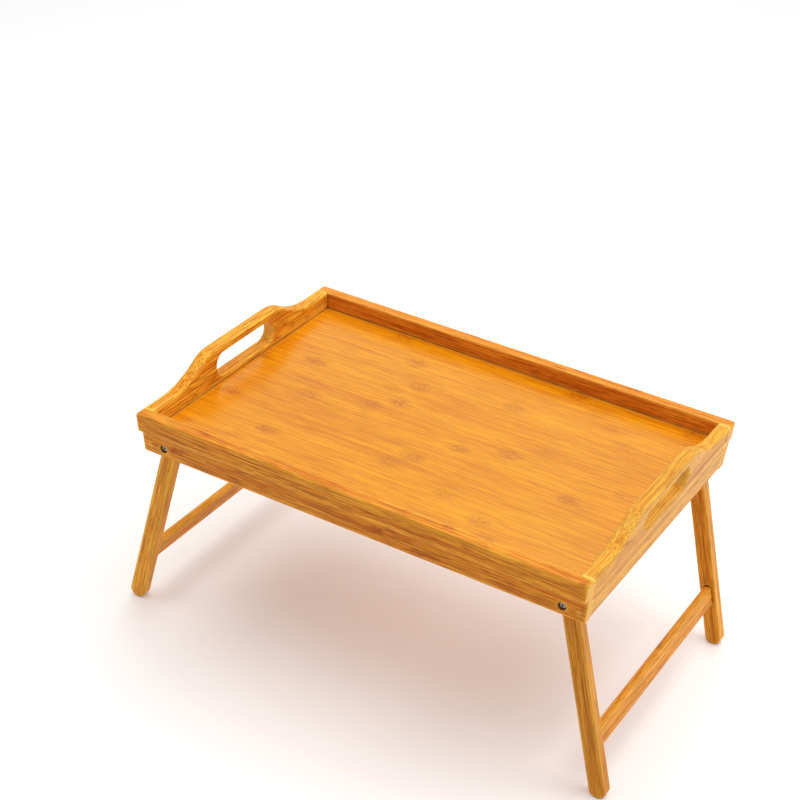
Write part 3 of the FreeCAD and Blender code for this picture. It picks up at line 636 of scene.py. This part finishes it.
def small_finish(name, light, shade, grain, rough, bump_depth, metal=0.0):
    """The mean of a fine drawn-out noise and a soft cloud carries the colour from light to shade.
    The fine noise also makes the roughness and the bump, and inner corners and recesses darken
    towards near-black as painted shade."""
    finish = bpy.data.materials.new(name)
    finish.use_nodes = True
    tree = finish.node_tree
    shader = tree.nodes["Principled BSDF"]
    coordinates = put(tree, "TexCoord").outputs["Object"]
    marks = fibres(tree, coordinates, grain, 3.0)
    cloud = fibres(tree, coordinates, CLOUD_GRAIN)
    widths = {"Edge Width": SMALL_EDGE, "Corner Width": SMALL_CORNER}
    edges = put(tree, "Group", widths, node_tree=EDGES)
    tree.links.new(coordinates, edges.inputs["Place"])
    mixed = reckon(tree, "MULTIPLY_ADD", marks, 0.5, reckon(tree, "MULTIPLY", cloud, 0.5))
    colour = blended(tree, mixed, light, shade)
    # Painted shade: inner corners and recesses darken towards near-black.
    hollow_shade = reckon(tree, "MULTIPLY", edges.outputs["Corner"], HOLLOW_SHADE_DEPTH)
    colour = blended(tree, hollow_shade, colour, HOLLOW_SHADE_COLOUR)
    tree.links.new(colour, shader.inputs["Base Color"])
    rough = reckon(tree, "MULTIPLY_ADD", marks, DULL_MARKS, rough)
    tree.links.new(rough, shader.inputs["Roughness"])
    bump = put(tree, "Bump", {"Strength": MARK_BUMP, "Distance": bump_depth, "Height": marks})
    tree.links.new(bump.outputs[0], shader.inputs["Normal"])
    shader.inputs["Metallic"].default_value = metal
    return finish


hardwood = small_finish("turned_hardwood", srgb(226, 196, 150), srgb(196, 160, 112), (300, 900),
                        0.5, 0.0002)
steel = small_finish("zinc_steel", srgb(196, 188, 176), srgb(132, 126, 116), (900, 2400), 0.24,
                     0.00005, metal=1.0)
nylon = small_finish("nylon", srgb(236, 232, 220), srgb(218, 212, 198), (500, 500), 0.42, 0.00008)
give(hardwood, "corner_dowels")
corners = [f"{side}_{end}" for side in ("left", "right") for end in ("front", "back")]
for corner_name in corners:
    give(steel, *(f"{corner_name}_{part}" for part in ("pivot_bolt", "washer", "lock_nut")))
    give(nylon, f"{corner_name}_spacer")

# %% [markdown]
# ## Bolt threads
# Each pivot is a machine bolt whose rolled thread stands a little proud of its plain shank and shows
# where it leaves the lock nut. A spiral could be made with a Screw modifier. Written as a surface it
# is one line: the radius rises and falls as a triangle wave that advances one pitch in each turn.

# %% Bolt threads
THREAD_CORE = 0.00195
THREAD_RISE = 0.0003
THREAD_PITCH = 0.0008
THREAD_LEAD_IN = 0.8 * THREAD_PITCH
RINGS_PER_TURN = 12
SPOKES = 40
BEHIND_TIP = 0.0003
INTO_NUT = 0.0008


def thread_surface(centre, tip, root, outer):
    """Grid of (distance along the bolt, angle round it). Each ring's radius is the core plus the
    rise times a triangle wave of (distance / pitch - angle / full turn), which fades in over the
    lead-in at the tip. One centre point closes each end."""
    rings = RINGS_PER_TURN * round(abs(root - tip) / THREAD_PITCH) + 1
    along = np.linspace(tip, root, rings)[:, None]
    angle = np.linspace(0, 2 * pi, SPOKES, endpoint=False)[None, :]
    wave = np.abs(((along / THREAD_PITCH - outer * angle / (2 * pi)) % 1.0) * 2 - 1)
    fade = np.clip(np.abs(along - tip) / THREAD_LEAD_IN, 0, 1)
    reach = THREAD_CORE + THREAD_RISE * wave * fade
    x = centre[0] + reach * np.cos(angle)
    z = centre[1] + reach * np.sin(angle)
    y = along + 0 * angle
    points = np.stack([x, y, z], axis=-1).reshape(-1, 3)
    ends = [(centre[0], tip, centre[1]), (centre[0], root, centre[1])]
    points = np.vstack([points, ends])
    ring, spoke = np.meshgrid(np.arange(rings - 1), np.arange(SPOKES), indexing="ij")
    after = (spoke + 1) % SPOKES
    quad_corners = (ring * SPOKES + spoke, ring * SPOKES + after,
                    (ring + 1) * SPOKES + after, (ring + 1) * SPOKES + spoke)
    quads = np.stack(quad_corners, axis=-1).reshape(-1, 4)
    here = np.arange(SPOKES)
    after = (here + 1) % SPOKES
    last = (rings - 1) * SPOKES
    tip_fan = np.stack([after, here, np.full(SPOKES, len(points) - 2)], axis=-1)
    root_fan = np.stack([last + here, last + after, np.full(SPOKES, len(points) - 1)], axis=-1)
    if root < tip:
        return points, quads.tolist() + tip_fan.tolist() + root_fan.tolist()
    flipped = [faces[:, ::-1].tolist() for faces in (quads, tip_fan, root_fan)]
    return points, sum(flipped, [])


for corner_name in corners:
    low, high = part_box(f"{corner_name}_pivot_bolt")
    nut_low, nut_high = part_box(f"{corner_name}_lock_nut")
    outer = 1 if high.y > 0 else -1
    tip = (low.y if outer > 0 else high.y) + outer * BEHIND_TIP
    root = (nut_low.y if outer > 0 else nut_high.y) + outer * INTO_NUT
    pivot = ((low.x + high.x) / 2, (low.z + high.z) / 2)
    points, faces = thread_surface(pivot, tip, root, outer)
    thread_mesh = bpy.data.meshes.new(f"{corner_name}_bolt_thread")
    thread_mesh.from_pydata(points.tolist(), [], faces)
    thread_mesh.materials.append(steel)
    thread = bpy.data.objects.new(f"{corner_name}_bolt_thread", thread_mesh)
    bpy.context.collection.objects.link(thread)
    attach(thread, "tray")
    print(thread.name, len(faces), "faces, y", round(tip, 4), "to", round(root, 4))

# %% Update the scene
bpy.context.view_layer.update()
